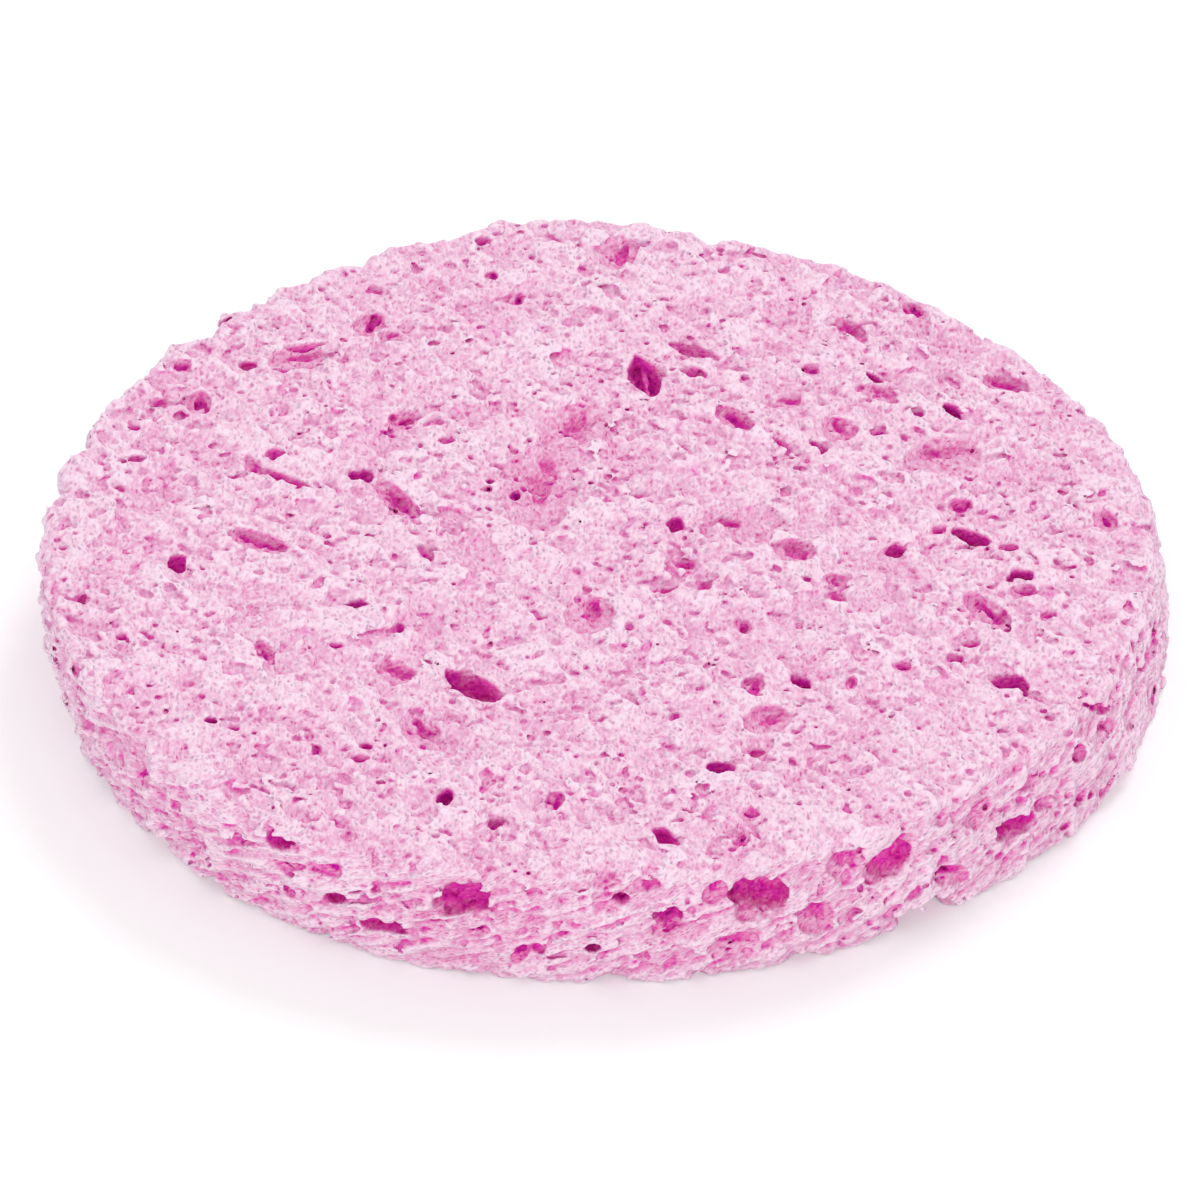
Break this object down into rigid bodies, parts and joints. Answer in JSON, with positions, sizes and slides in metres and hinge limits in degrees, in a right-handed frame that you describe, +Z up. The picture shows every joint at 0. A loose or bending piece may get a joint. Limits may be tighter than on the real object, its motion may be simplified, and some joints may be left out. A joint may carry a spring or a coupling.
{
  "type": "cellulose facial sponge",
  "caption": "Round flat disc of open-celled cellulose foam for washing the face, with uneven cut edges and irregular pores on every side.",
  "frame": {"origin": "middle of the lower face, at the bottom centre of the bounding box", "axes": "+Z up out of the upper face, -Y towards the side that the picture looks from, +X to its right"},
  "size_m": [0.077, 0.0768, 0.0095],
  "materials": {
    "foam": "matte"
  },
  "bodies": {
    "root": {"sponge_body": "foam"}
  },
  "joints": []
}
